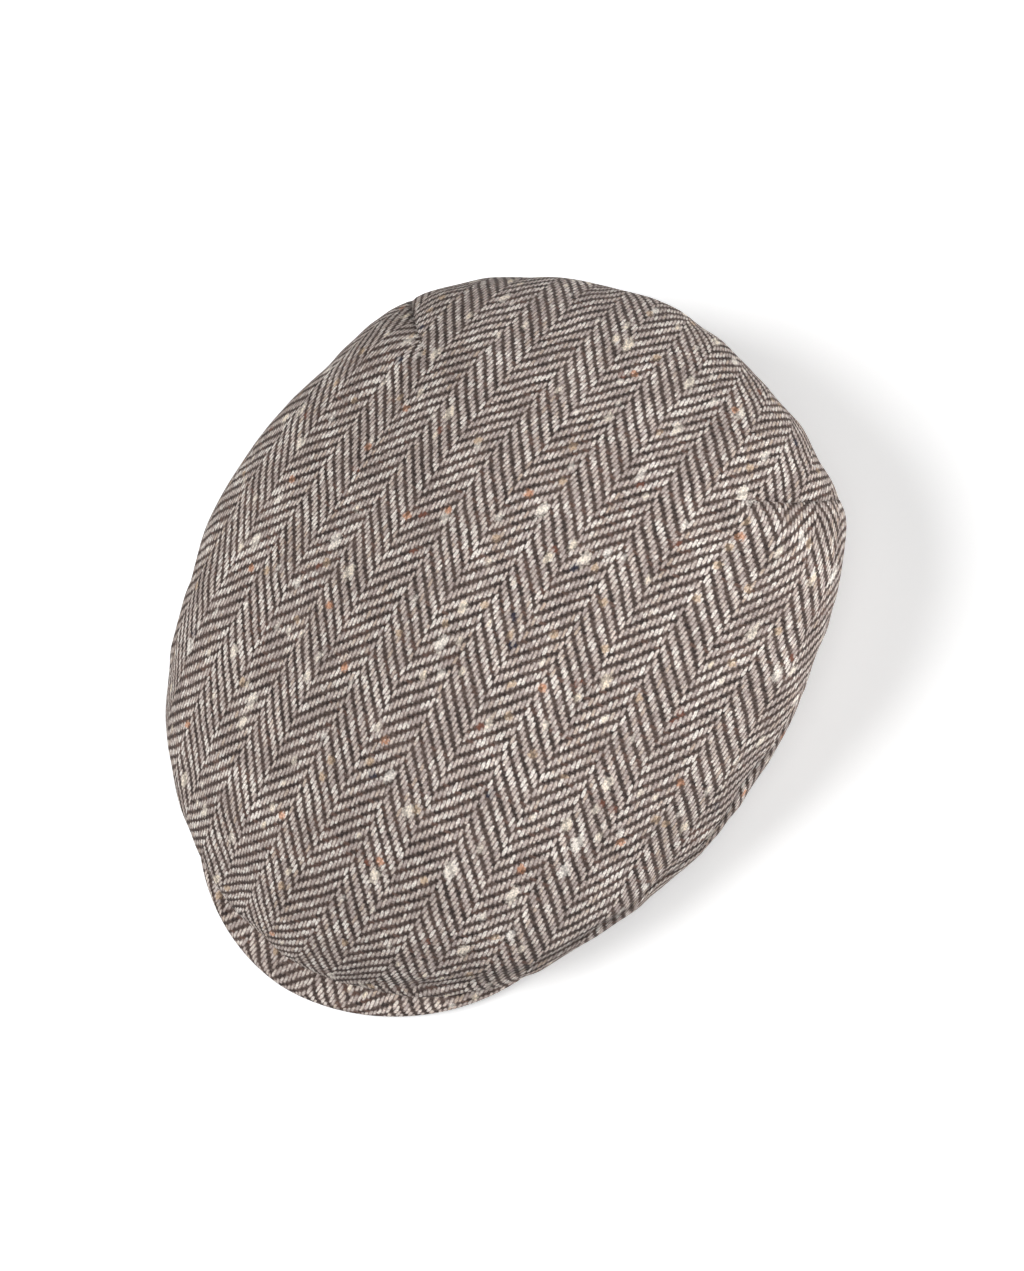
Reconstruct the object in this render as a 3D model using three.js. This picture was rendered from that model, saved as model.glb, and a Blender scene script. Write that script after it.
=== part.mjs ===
// Flat cap in herringbone tweed: a one-piece soft crown with two back darts,
// rolled over a thin arched peak.
// X runs across the cap (the wearer's left is +X), Y along it with the peak
// towards -Y, and Z up. The hem stands on Z = 0.

import * as THREE from 'three';

// Overall sizes in millimetres
const CROWN_LENGTH = 258;
const CROWN_WIDTH = 224;
const CROWN_HEIGHT = 100;
const CLOTH_THICKNESS = 2.2;
const HEM_LENGTH = 198;
const HEM_WIDTH = 163;
const HEM_BAND = 12;
const PEAK_DEPTH = 47;
const PEAK_THICKNESS = 3.2;
const GAP = 0.3;

// The highest point of the top and the middle of the hem, along the cap
const TOP_Y = 0.167 * CROWN_LENGTH;
const HEM_Y = 0.085 * CROWN_LENGTH;

// How the top leaves its highest point, as a share of the way to the edge
const TOP_SOFTNESS = 0.25;
// How full the cloth hangs where it turns under, 1 is a quarter ellipse
const TURN_FULLNESS = 0.9;
// How far the widest line is rounded over, as a share of the way out
const EDGE_ROUNDING = 0.16;
const ROUNDING_TAPS = [
  { at: -1, weight: 1 / 9 },
  { at: -2 / 3, weight: 2 / 9 },
  { at: 0, weight: 3 / 9 },
  { at: 2 / 3, weight: 2 / 9 },
  { at: 1, weight: 1 / 9 },
];
// Folds and darts die out over this share of the turned-under side
const FOLD_SETTLE = 1 / 3;
// A dart reaches its full depth this far beyond its tip, and is shallow again
// by a share where the cloth rounds the edge
const DART_GROWTH = 0.25;
const DART_EASE_FROM = 0.72;
const DART_EASE_OVER = 0.2;
const DART_EASE = 0.75;
// How many degrees of the crown beside a dart turn with it
const LEAN_REACH = 40;

// The peak spans this many degrees each side of its middle, which is turned
// this many degrees from the front
const PEAK_HALF_ANGLE = 53;
const PEAK_TURN = -1;
// The outer edge of the peak: how square its front is, and its least depth
const PEAK_SQUARE = 1.66;
const PEAK_END_DEPTH = 0.09 * PEAK_DEPTH;
const PEAK_DROOP = 0.06 * PEAK_DEPTH;
// Where its rows of points lie, as shares of its depth
const PEAK_SHARES = [0, 0.25, 0.5, 0.75];
// Its rounded rim: distance behind the outer edge as a share of half the
// thickness, and height as a share of the thickness
const PEAK_RIM = [
  { behind: 1, rise: 1 },
  { behind: 0.3, rise: 0.85 },
  { behind: 0, rise: 0.5 },
  { behind: 0.3, rise: 0.15 },
  { behind: 1, rise: 0 },
];

// How finely the surfaces are divided
const AROUND = 84;
const DOME_ROWS = 24;
const TURN_ROWS = 7;
const LINING_TURN_ROWS = 4;
const LINING_DOME_ROWS = 14;
const PEAK_STEPS = 44;
// Extra places beside each dart, and how close an even place may come to one
const SEAM_TURN = 2.2;
const SEAM_CLEARANCE = 1.6;
// Small steps out and round, for the directions of the surface
const STEP = 0.002;
const TURN_STEP = 0.5;
const RAD = Math.PI / 180;

// The crown seen from above and from the side, every 30 degrees round.
// az: degrees round from the wearer's left, the back at 90
// reach: distance from the highest point to the widest line, as a share of the
//        crown's width sideways and of its length along the cap
// edge: height of the widest line, as a share of the crown's height
// round: how the top leaves its highest point, 2 is an even dome
// drop: how it comes down to the widest line, 0.5 is a quarter circle
// band: height of the upright hem band, as a share of HEM_BAND
const OUTLINE = [
  { az: -90, reach: 0.620, edge: 0.18, round: 2.05, drop: 0.55, band: 1.00 },
  { az: -60, reach: 0.598, edge: 0.17, round: 1.95, drop: 0.54, band: 0.70 },
  { az: -30, reach: 0.533, edge: 0.23, round: 1.90, drop: 0.52, band: 0.45 },
  { az: 0, reach: 0.500, edge: 0.40, round: 1.92, drop: 0.52, band: 0.40 },
  { az: 30, reach: 0.471, edge: 0.39, round: 1.85, drop: 0.54, band: 0.40 },
  { az: 60, reach: 0.398, edge: 0.41, round: 1.72, drop: 0.57, band: 0.40 },
  { az: 90, reach: 0.385, edge: 0.41, round: 1.64, drop: 0.58, band: 0.40 },
  { az: 120, reach: 0.400, edge: 0.41, round: 1.72, drop: 0.57, band: 0.40 },
  { az: 150, reach: 0.457, edge: 0.39, round: 1.85, drop: 0.54, band: 0.40 },
  { az: 180, reach: 0.469, edge: 0.40, round: 1.92, drop: 0.52, band: 0.40 },
  { az: 210, reach: 0.553, edge: 0.25, round: 1.90, drop: 0.52, band: 0.45 },
  { az: 240, reach: 0.594, edge: 0.18, round: 1.95, drop: 0.54, band: 0.70 },
];

// The two back darts, seams that pinch the cloth from the hem up to a tip.
// az: degrees round at the widest line, tip: how far out the tip lies on the
// way to the edge, lean: degrees it turns from the top to the widest line
// sink: depth of the seam, half: half width of the pinch, both in shares of
// the cloth's thickness
const DARTS = [
  { name: 'left dart', az: 33, tip: 0.50, lean: 15, sink: 0.75, half: 2.4 },
  { name: 'right dart', az: 149.5, tip: 0.36, lean: 0, sink: 0.75, half: 2.4 },
];

// Soft dents and swells of the cloth.
// az: degrees round, at: 0 at the highest point, 1 at the widest line
// wide: reach of the dent in degrees, long: its reach outwards
// rise: height in shares of the crown's height, below zero for a dent
const FOLDS = [
  { name: 'front right pinch', az: 257, at: 0.82, wide: 6, long: 0.13, rise: -0.024 },
  { name: 'front right swell', az: 243, at: 0.88, wide: 8, long: 0.14, rise: 0.012 },
  { name: 'right front dent', az: 208, at: 0.86, wide: 10, long: 0.15, rise: -0.031 },
  { name: 'right side swell', az: 186, at: 0.80, wide: 10, long: 0.15, rise: 0.004 },
  { name: 'right back crease', az: 170, at: 0.82, wide: 7, long: 0.15, rise: -0.009 },
  { name: 'right back dent', az: 160, at: 0.81, wide: 14, long: 0.15, rise: -0.012 },
  { name: 'right dart hollow', az: 142, at: 0.83, wide: 5, long: 0.15, rise: -0.016 },
  { name: 'back dent', az: 106, at: 0.89, wide: 7, long: 0.15, rise: -0.009 },
  { name: 'back left dent', az: 82, at: 0.93, wide: 5, long: 0.15, rise: -0.015 },
  { name: 'left dart hollow', az: 42, at: 1.08, wide: 5, long: 0.15, rise: -0.014 },
  { name: 'left side hollow', az: 14, at: 1.27, wide: 14, long: 0.15, rise: -0.017 },
  { name: 'left side dent', az: 346, at: 1.05, wide: 5, long: 0.12, rise: -0.014 },
  { name: 'left front dent', az: 327, at: 1.08, wide: 4, long: 0.12, rise: -0.014 },
  { name: 'left roll dent', az: 314, at: 1.15, wide: 14, long: 0.15, rise: -0.013 },
  { name: 'front left swell', az: 308, at: 0.92, wide: 10, long: 0.12, rise: 0.014 },
  { name: 'front roll dent', az: 292, at: 0.98, wide: 9, long: 0.07, rise: -0.022 },
];

// A smooth closed curve through one column of the outline table
function outlineAt(column, az) {
  const rows = OUTLINE.length;
  const turns = (az - OUTLINE[0].az) / 360;
  const place = (turns - Math.floor(turns)) * rows;
  const row = Math.floor(place) % rows;
  const f = place - Math.floor(place);
  const [p0, p1, p2, p3] = [-1, 0, 1, 2].map(
    (k) => OUTLINE[(row + k + rows) % rows][column],
  );
  const slope = p2 - p0;
  const bend = 2 * p0 - 5 * p1 + 4 * p2 - p3;
  const twist = 3 * p1 - p0 - 3 * p2 + p3;
  return 0.5 * (2 * p1 + slope * f + bend * f ** 2 + twist * f ** 3);
}

// The outward direction in plan for a given place round the crown
function directionAt(az) {
  return [CROWN_WIDTH * Math.cos(az * RAD), CROWN_LENGTH * Math.sin(az * RAD)];
}

// How far along that direction the upright hem band stands
function hemReach(az) {
  const [dx, dy] = directionAt(az);
  const across = HEM_WIDTH / 2;
  const along = HEM_LENGTH / 2;
  const behind = TOP_Y - HEM_Y;
  const a = (dx / across) ** 2 + (dy / along) ** 2;
  const b = (dy * behind) / along ** 2;
  const c = (behind / along) ** 2 - 1;
  return (-b + Math.sqrt(b * b - a * c)) / a;
}

// Share of the fall from the highest point, smooth at the middle
function fall(share, round) {
  const soft = TOP_SOFTNESS ** round;
  const here = (share ** 2 + TOP_SOFTNESS ** 2) ** (round / 2) - soft;
  const whole = (1 + TOP_SOFTNESS ** 2) ** (round / 2) - soft;
  return Math.min(here / whole, 1);
}

// The bare surface. t runs 0 to 1 over the dome from the highest point to the
// widest line, 1 to 2 down the turned-under side to the hem band, and 2 to 3
// down the band to the hem.
function barePoint(az, t) {
  const [dx, dy] = directionAt(az);
  const reach = outlineAt('reach', az);
  const edge = outlineAt('edge', az) * CROWN_HEIGHT;
  const band = outlineAt('band', az) * HEM_BAND;
  const hem = hemReach(az);
  let out = hem;
  let height = band * (3 - t);
  if (t <= 1) {
    const share = Math.sin((t * Math.PI) / 2);
    const left = 1 - fall(share, outlineAt('round', az));
    out = reach * share;
    height = edge + (CROWN_HEIGHT - edge) * left ** outlineAt('drop', az);
  } else if (t <= 2) {
    const turn = ((t - 1) * Math.PI) / 2;
    out = hem + (reach - hem) * Math.max(Math.cos(turn), 0) ** TURN_FULLNESS;
    height = band + (edge - band) * (1 - Math.sin(turn));
  }
  return new THREE.Vector3(dx * out, TOP_Y + dy * out, height);
}

// The surface with its widest line rounded over: a weighted mean of the bare
// surface a little further in and a little further out
function roundedPoint(az, t) {
  const spread = Math.min(EDGE_ROUNDING, t, Math.max(2 - t, 0));
  const mean = new THREE.Vector3();
  for (const { at, weight } of ROUNDING_TAPS) {
    mean.addScaledVector(barePoint(az, t + spread * at), weight);
  }
  return mean;
}

// The outward normal of the rounded surface
function outwards(az, t) {
  if (t < STEP) return new THREE.Vector3(0, 0, 1);
  const t0 = t > 2 ? Math.max(t - STEP, 2) : t - STEP;
  const t1 = t > 2 ? t + STEP : Math.min(t + STEP, 2);
  const round = roundedPoint(az + TURN_STEP, t);
  round.sub(roundedPoint(az - TURN_STEP, t));
  const down = roundedPoint(az, t1).sub(roundedPoint(az, t0));
  return down.cross(round).normalize();
}

// Shortest way round between two directions in degrees
function turnBetween(a, b) {
  const turn = (((a - b) % 360) + 540) % 360;
  return turn - 180;
}

// Where a column of points lies at t, turned with the leaning dart beside it
function columnAt(column, t) {
  let az = column;
  for (const dart of DARTS) {
    const near = Math.exp(-((turnBetween(column, dart.az) / LEAN_REACH) ** 2));
    az += dart.lean * (Math.min(t, 2) - 1) * near;
  }
  return az;
}

// How much a dart seam draws the cloth in
function dartSink(az, t) {
  let sink = 0;
  for (const dart of DARTS) {
    const away = turnBetween(az, dart.az + dart.lean * (t - 1)) * RAD;
    const share = Math.sin((Math.min(t, 1) * Math.PI) / 2);
    const sideways = away * share * outlineAt('reach', az) * CROWN_WIDTH;
    const grown = Math.min(Math.max((t - dart.tip) / DART_GROWTH, 0), 1);
    const eased = Math.min(Math.max((t - DART_EASE_FROM) / DART_EASE_OVER, 0), 1);
    const depth = dart.sink * CLOTH_THICKNESS * (1 - DART_EASE * eased);
    const near = Math.exp(-((sideways / (dart.half * CLOTH_THICKNESS)) ** 2));
    sink += depth * grown * near;
  }
  return sink;
}

// How much the folds raise the cloth
function foldRise(az, t) {
  let rise = 0;
  for (const fold of FOLDS) {
    const across = turnBetween(az, fold.az) / fold.wide;
    const out = (t - fold.at) / fold.long;
    rise += fold.rise * CROWN_HEIGHT * Math.exp(-(across ** 2) - out ** 2);
  }
  return rise;
}

// The outer face of the cloth
function outerPoint(az, t) {
  if (t >= 2) return barePoint(az, t);
  const settle = Math.min(1, (2 - t) / FOLD_SETTLE);
  const move = (foldRise(az, t) - dartSink(az, t)) * settle;
  return roundedPoint(az, t).addScaledVector(outwards(az, t), move);
}

// The inner face, one cloth thickness inside the outer one
function innerPoint(az, t) {
  return outerPoint(az, t).addScaledVector(outwards(az, t), -CLOTH_THICKNESS);
}

// A point of the inner face of the hem band at a given height
function innerBandPoint(az, height) {
  const foot = barePoint(az, 3);
  const inwards = outwards(az, 2.5);
  return foot.addScaledVector(inwards, -CLOTH_THICKNESS).setZ(height);
}

// Places round the crown, closer together at the darts so the seams show
function placesRound() {
  const beside = [-SEAM_TURN, 0, SEAM_TURN];
  const seams = DARTS.flatMap((dart) => beside.map((turn) => dart.az + turn));
  const even = Array.from({ length: AROUND }, (_, i) => (i * 360) / AROUND - 90);
  const kept = even.filter((az) =>
    seams.every((seam) => Math.abs(turnBetween(az, seam)) > SEAM_CLEARANCE),
  );
  return [...kept, ...seams].sort((a, b) => a - b);
}

// Joins rings of points into a skin; rings of one point close it
function skin(rings) {
  const places = [];
  const faces = [];
  const starts = [];
  for (const ring of rings) {
    starts.push(places.length / 3);
    for (const p of ring) places.push(p.x, p.y, p.z);
  }
  for (let r = 0; r + 1 < rings.length; r += 1) {
    const count = Math.max(rings[r].length, rings[r + 1].length);
    for (let i = 0; i < count; i += 1) {
      const next = (i + 1) % count;
      const a = starts[r] + (rings[r].length > 1 ? i : 0);
      const b = starts[r] + (rings[r].length > 1 ? next : 0);
      const c = starts[r + 1] + (rings[r + 1].length > 1 ? i : 0);
      const d = starts[r + 1] + (rings[r + 1].length > 1 ? next : 0);
      if (a !== b) faces.push(a, c, b);
      if (c !== d) faces.push(b, c, d);
    }
  }
  const geometry = new THREE.BufferGeometry();
  geometry.setAttribute('position', new THREE.Float32BufferAttribute(places, 3));
  geometry.setIndex(faces);
  geometry.computeVertexNormals();
  return geometry;
}

// The crown: outer face from the top down to the hem, then the inner face back up
function crownGeometry() {
  const round = placesRound();
  const ringAt = (t, place) => round.map((column) => place(columnAt(column, t), t));
  const rings = [[barePoint(0, 0)]];
  for (let i = 1; i <= DOME_ROWS; i += 1) {
    rings.push(ringAt(i / DOME_ROWS, outerPoint));
  }
  for (let i = 1; i <= TURN_ROWS; i += 1) {
    rings.push(ringAt(1 + i / TURN_ROWS, outerPoint));
  }
  rings.push(ringAt(3, barePoint));
  rings.push(ringAt(3, (az) => innerBandPoint(az, 0)));
  rings.push(ringAt(2, (az) => innerBandPoint(az, barePoint(az, 2).z + CLOTH_THICKNESS)));
  for (let i = LINING_TURN_ROWS - 1; i >= 0; i -= 1) {
    rings.push(ringAt(1 + i / LINING_TURN_ROWS, innerPoint));
  }
  for (let i = LINING_DOME_ROWS - 1; i >= 1; i -= 1) {
    rings.push(ringAt(i / LINING_DOME_ROWS, innerPoint));
  }
  rings.push([barePoint(0, 0).setZ(CROWN_HEIGHT - CLOTH_THICKNESS)]);
  return skin(rings);
}

// One cross-section of the peak, from its seam at the hem out to its edge.
// turn: degrees from the front, towards the wearer's left
function peakSection(turn) {
  const across = HEM_WIDTH / 2 + GAP;
  const along = HEM_LENGTH / 2 + GAP;
  const x = across * Math.sin(turn * RAD);
  const y = HEM_Y - along * Math.cos(turn * RAD);
  const out = new THREE.Vector2(x / across ** 2, (y - HEM_Y) / along ** 2).normalize();
  const away = Math.min(Math.abs(turn - PEAK_TURN) / PEAK_HALF_ANGLE, 1);
  const grown = (1 - away ** PEAK_SQUARE) ** (1 / PEAK_SQUARE);
  const depth = PEAK_END_DEPTH + (PEAK_DEPTH - PEAK_END_DEPTH) * grown;
  const at = (share, rise) => {
    const px = x + out.x * depth * share;
    const py = y + out.y * depth * share;
    const az = Math.atan2((py - TOP_Y) / CROWN_LENGTH, px / CROWN_WIDTH) / RAD;
    const top = outlineAt('band', az) * HEM_BAND - GAP;
    const droop = PEAK_DROOP * share ** 2 * grown;
    const z = Math.max(top - droop - PEAK_THICKNESS, 0) + rise;
    return new THREE.Vector3(px, py, z);
  };
  const top = PEAK_SHARES.map((share) => at(share, PEAK_THICKNESS));
  const rim = PEAK_RIM.map(({ behind, rise }) =>
    at(1 - (behind * PEAK_THICKNESS) / 2 / depth, rise * PEAK_THICKNESS),
  );
  const under = PEAK_SHARES.map((share) => at(share, 0)).reverse();
  return [...top, ...rim, ...under];
}

// The peak: sections joined from one end to the other
function peakGeometry() {
  const sections = [];
  for (let i = 0; i <= PEAK_STEPS; i += 1) {
    const even = Math.sin((1 - (2 * i) / PEAK_STEPS) * (Math.PI / 2));
    sections.push(peakSection(PEAK_TURN + PEAK_HALF_ANGLE * even));
  }
  const middle = (ring) =>
    ring.reduce((sum, p) => sum.add(p), new THREE.Vector3()).divideScalar(ring.length);
  const first = [middle(sections[0])];
  const last = [middle(sections[PEAK_STEPS])];
  return skin([first, ...sections, last]);
}

// Cloth colours: the average of the light and dark yarns
const CROWN_CLOTH = new THREE.MeshStandardMaterial({
  name: 'crown_tweed',
  color: 0x908479,
  roughness: 0.95,
  metalness: 0,
});
const PEAK_CLOTH = new THREE.MeshStandardMaterial({
  name: 'peak_tweed',
  color: 0x8e8278,
  roughness: 0.95,
  metalness: 0,
});

const crown = new THREE.Mesh(crownGeometry(), CROWN_CLOTH);
crown.name = 'crown';
const peak = new THREE.Mesh(peakGeometry(), PEAK_CLOTH);
peak.name = 'peak';

// The origin goes under the middle of the whole cap
const bounds = new THREE.Box3().setFromObject(crown);
bounds.expandByObject(peak);
const centre = bounds.getCenter(new THREE.Vector3());
for (const piece of [crown, peak]) piece.geometry.translate(-centre.x, -centre.y, 0);

const cap = new THREE.Group();
cap.name = 'flat_cap';
cap.add(crown, peak);

export default cap;
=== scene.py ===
# %% [markdown]
# # A herringbone tweed flat cap
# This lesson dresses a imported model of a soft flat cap: a one-piece crown that
# rolls over a thin curved peak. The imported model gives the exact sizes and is
# what the simulation uses. Here the same forms are worked out again on a much
# finer grid, with the small dents of real cloth, and covered in a woven tweed
# that is built from shader nodes alone.

import bpy
import numpy as np
from mathutils import Matrix, Vector


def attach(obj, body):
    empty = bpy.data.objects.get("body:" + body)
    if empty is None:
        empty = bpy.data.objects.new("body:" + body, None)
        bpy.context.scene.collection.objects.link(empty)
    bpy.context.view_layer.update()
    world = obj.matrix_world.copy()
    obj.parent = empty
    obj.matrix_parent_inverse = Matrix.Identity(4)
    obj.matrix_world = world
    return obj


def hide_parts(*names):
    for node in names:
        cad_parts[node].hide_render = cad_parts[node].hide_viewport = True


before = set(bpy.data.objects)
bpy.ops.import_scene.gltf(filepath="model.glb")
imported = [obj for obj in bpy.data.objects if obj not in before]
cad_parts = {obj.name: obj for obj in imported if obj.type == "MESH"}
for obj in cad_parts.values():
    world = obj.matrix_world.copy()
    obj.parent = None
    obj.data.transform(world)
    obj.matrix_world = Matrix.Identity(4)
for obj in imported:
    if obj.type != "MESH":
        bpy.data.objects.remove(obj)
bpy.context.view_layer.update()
print("packed nodes:", sorted(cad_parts))

# %% [markdown]
# ## The sizes of the cap
# A maker describes a flat cap by the oval of its hem, the length and width of
# its crown, and how far the widest line stands out over the hem. The numbers
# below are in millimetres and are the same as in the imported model. The table
# holds one row for every 30 degrees round, starting at the front: how far the
# widest line is from the highest point, how high it lies, how the dome leaves
# the top and arrives at the edge, and how high the upright hem band is.

# %% Sizes and outline table
CROWN_LENGTH = 258.0
CROWN_WIDTH = 224.0
CROWN_HEIGHT = 100.0
CLOTH = 2.2
HEM_LENGTH = 198.0
HEM_WIDTH = 163.0
HEM_BAND = 12.0
TOP_Y = 0.167 * CROWN_LENGTH
HEM_Y = 0.085 * CROWN_LENGTH
TOP_SOFTNESS = 0.25
TURN_FULLNESS = 0.9
EDGE_ROUNDING = 0.16
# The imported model's origin, seen from the point where the formulas start
ORIGIN = np.array([1.10, 8.66, 0.0])

# fmt: off
OUTLINE = {
    "reach": [.620, .598, .533, .500, .471, .398, .385, .400, .457, .469, .553, .594],
    "edge":  [.18,  .17,  .23,  .40,  .39,  .41,  .41,  .41,  .39,  .40,  .25,  .18],
    "round": [2.05, 1.95, 1.90, 1.92, 1.85, 1.72, 1.64, 1.72, 1.85, 1.92, 1.90, 1.95],
    "drop":  [.55,  .54,  .52,  .52,  .54,  .57,  .58,  .57,  .54,  .52,  .52,  .54],
    "band":  [1.00, .70,  .45,  .40,  .40,  .40,  .40,  .40,  .40,  .40,  .45,  .70],
}
# fmt: on
print("outline rows:", len(OUTLINE["reach"]))

# %% [markdown]
# ## The form of the crown as a formula
# Cloth over a head hollow has no flat faces and no sharp edges, so the whole
# crown is one function of two parameters. `az` is the direction round the cap
# in degrees, and `t` runs down the cloth: 0 at the highest point, 1 at the
# widest line, 2 where the cloth meets the hem band and 3 at the hem. A closed
# Catmull-Rom curve through the table keeps every column smooth all the way
# round, which a straight blend between rows would not.


# %% Smooth columns, directions and the hem
def outline_at(column, az):
    """Periodic Catmull-Rom curve through a column: 0.5 (2 p1 + slope f + bend f^2
    + twist f^3) between rows p1 and p2, with p0 and p3 their neighbours."""
    rows = np.asarray(OUTLINE[column])
    place = ((az + 90.0) / 360.0 % 1.0) * len(rows)
    row = np.floor(place).astype(int) % len(rows)
    f = place - np.floor(place)
    p0, p1, p2, p3 = (rows[(row + k) % len(rows)] for k in (-1, 0, 1, 2))
    bend = 2 * p0 - 5 * p1 + 4 * p2 - p3
    twist = 3 * p1 - p0 - 3 * p2 + p3
    return 0.5 * (2 * p1 + (p2 - p0) * f + bend * f**2 + twist * f**3)


def direction_at(az):
    """Outward direction in plan, longer along the cap than across it."""
    return CROWN_WIDTH * np.cos(np.radians(az)), CROWN_LENGTH * np.sin(np.radians(az))


def hem_reach(az):
    """Where the ray from the highest point meets the hem's ellipse: the larger
    root of a quadratic in the distance."""
    dx, dy = direction_at(az)
    behind = TOP_Y - HEM_Y
    a = (2 * dx / HEM_WIDTH) ** 2 + (2 * dy / HEM_LENGTH) ** 2
    b = 4 * dy * behind / HEM_LENGTH**2
    c = (2 * behind / HEM_LENGTH) ** 2 - 1
    return (-b + np.sqrt(b * b - a * c)) / a


print("hem reach at the front and back:", hem_reach(np.array([-90.0, 90.0])).round(3))


# %% The bare surface and its rounded widest line
def fall(share, power):
    """How far the dome has fallen: ((s^2 + softness^2)^(power/2)) scaled to 0..1."""
    soft = TOP_SOFTNESS**power
    here = (share**2 + TOP_SOFTNESS**2) ** (power / 2) - soft
    return np.minimum(here / ((1 + TOP_SOFTNESS**2) ** (power / 2) - soft), 1)


def bare_surface(az, t):
    """Dome: reach times sin, height edge + rest (1 - fall)^drop. Turn-under: an
    ellipse quarter from the widest line in to the band. Band: straight down."""
    dx, dy = direction_at(az)
    reach, hem = outline_at("reach", az), hem_reach(az)
    edge = outline_at("edge", az) * CROWN_HEIGHT
    band = outline_at("band", az) * HEM_BAND
    share = np.sin(np.clip(t, 0, 1) * np.pi / 2)
    left = np.maximum(1 - fall(share, outline_at("round", az)), 0)
    dome = edge + (CROWN_HEIGHT - edge) * left ** outline_at("drop", az)
    turn = np.clip(t - 1, 0, 1) * np.pi / 2
    inwards = np.maximum(np.cos(turn), 0) ** TURN_FULLNESS
    out = np.where(t <= 1, reach * share, hem + (reach - hem) * inwards)
    height = np.where(t <= 1, dome, band + (edge - band) * (1 - np.sin(turn)))
    height = np.where(t <= 2, height, band * (3 - t))
    return np.stack([dx * out, TOP_Y + dy * out, height], -1)


def rounded_surface(az, t):
    """Weighted mean of five neighbours in t, so the widest line is a soft roll."""
    spread = np.minimum(EDGE_ROUNDING, np.minimum(t, np.maximum(2 - t, 0)))
    taps = ((-1, 1), (-2 / 3, 2), (0, 3), (2 / 3, 2), (1, 1))
    return sum(w * bare_surface(az, t + k * spread) for k, w in taps) / 9


print("widest line at the left:", rounded_surface(np.array([0.0]), np.array([1.0])).round(1))

# %% [markdown]
# ## Darts, dents and small puckers
# Two darts at the back are sewn from the hem up to a point, and each draws the
# cloth in along its seam. The other table lists the soft dents and swells that
# the photo shows, each a small bell-shaped hill or hollow. The last few are
# only millimetres long: they are the puckers where the edge is rolled under.

# %% Tables of darts and folds
# az, tip: where the dart is at the widest line and how far out its tip lies
# lean: degrees that it turns from the tip's side towards the hem
# sink, half: depth and half width of the pinch in shares of the cloth
# wedge: degrees of cloth taken out beyond the tip, side: which side it shows on
DARTS = (
    {"az": 33.0, "tip": 0.50, "lean": 15.0, "sink": 0.75, "half": 2.4, "wedge": 18.0, "side": -1},
    {"az": 149.5, "tip": 0.36, "lean": 0.0, "sink": 0.75, "half": 2.4, "wedge": 16.0, "side": 1},
)
# A dart is shallow again where the cloth rounds the edge
DART_EASE_FROM = 0.72
DART_EASE_OVER = 0.20
DART_EASE = 0.75
DART_GROWTH = 0.25
LEAN_REACH = 40.0
SEAM_DEPTH = 0.8
SEAM_HALF = 0.9
# name: (az, t, half width in degrees, half length in t, rise as a share of the height)
FOLDS = {
    "front right pinch": (257, 0.82, 6, 0.13, -0.024),
    "front right swell": (243, 0.88, 8, 0.14, 0.012),
    "right front dent": (208, 0.86, 10, 0.15, -0.031),
    "right side swell": (186, 0.80, 10, 0.15, 0.004),
    "right back crease": (170, 0.82, 7, 0.15, -0.009),
    "right back dent": (160, 0.81, 14, 0.15, -0.012),
    "right dart hollow": (142, 0.83, 5, 0.15, -0.016),
    "back dent": (106, 0.89, 7, 0.15, -0.009),
    "back left dent": (82, 0.93, 5, 0.15, -0.015),
    "left dart hollow": (42, 1.08, 5, 0.15, -0.014),
    "left side hollow": (14, 1.27, 14, 0.15, -0.017),
    "left side dent": (346, 1.05, 5, 0.12, -0.014),
    "left front dent": (327, 1.08, 4, 0.12, -0.014),
    "left roll dent": (314, 1.15, 14, 0.15, -0.013),
    "front left swell": (308, 0.92, 10, 0.12, 0.014),
    "front roll dent": (292, 0.98, 9, 0.07, -0.022),
}
# The crease where the edge turns under at the left front: its t by direction,
# where it is strongest, how far it goes to each side, and its depth and half width
CREASE = {
    "az": [300, 317, 329, 345, 359, 375],
    "t": [0.97, 0.98, 1.10, 1.08, 1.18, 1.22],
}
CREASE_MIDDLE = 337.0
CREASE_REACH = 36.0
CREASE_DEPTH = 1.0
CREASE_HALF = 0.030
print("darts:", len(DARTS), "folds:", len(FOLDS))


# %% How the cloth moves in and out
def turn_between(a, b):
    """Shortest way round from b to a in degrees."""
    return (a - b + 180.0) % 360.0 - 180.0


def beside_dart(dart, az, t):
    """Distance in mm from the seam, below zero on the side of smaller angles."""
    share = np.sin(np.clip(t, 0, 1) * np.pi / 2)
    reach = outline_at("reach", az) * CROWN_WIDTH
    seam = dart["az"] + dart["lean"] * (t - 1)
    return np.radians(turn_between(az, seam)) * share * reach


def dart_sink(az, t):
    """A wide bell and a narrow one along each seam, growing from the tip."""
    sink = 0.0
    for dart in DARTS:
        side = beside_dart(dart, az, t)
        grown = np.clip((t - dart["tip"]) / DART_GROWTH, 0, 1)
        grown = grown * (1 - DART_EASE * np.clip((t - DART_EASE_FROM) / DART_EASE_OVER, 0, 1))
        wide = dart["sink"] * CLOTH * np.exp(-((side / (dart["half"] * CLOTH)) ** 2))
        sink = sink + grown * (wide + SEAM_DEPTH * np.exp(-((side / SEAM_HALF) ** 2)))
    return sink


def dart_lean(column, t):
    """How far the grid's columns turn beside a leaning dart: lean times (t - 1),
    dying away as a bell LEAN_REACH degrees wide."""
    lean = 0.0
    for dart in DARTS:
        near = np.exp(-((turn_between(column, dart["az"]) / LEAN_REACH) ** 2))
        lean = lean + dart["lean"] * (np.minimum(t, 2) - 1) * near
    return lean


def fold_rise(az, t):
    """Sum of bells exp(-across^2 - out^2) for every row of the fold table."""
    rise = 0.0
    for at_az, at_t, wide, long, high in FOLDS.values():
        across = turn_between(az, at_az) / wide
        out = (t - at_t) / long
        rise = rise + high * CROWN_HEIGHT * np.exp(-(across**2) - out**2)
    return rise


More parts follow.
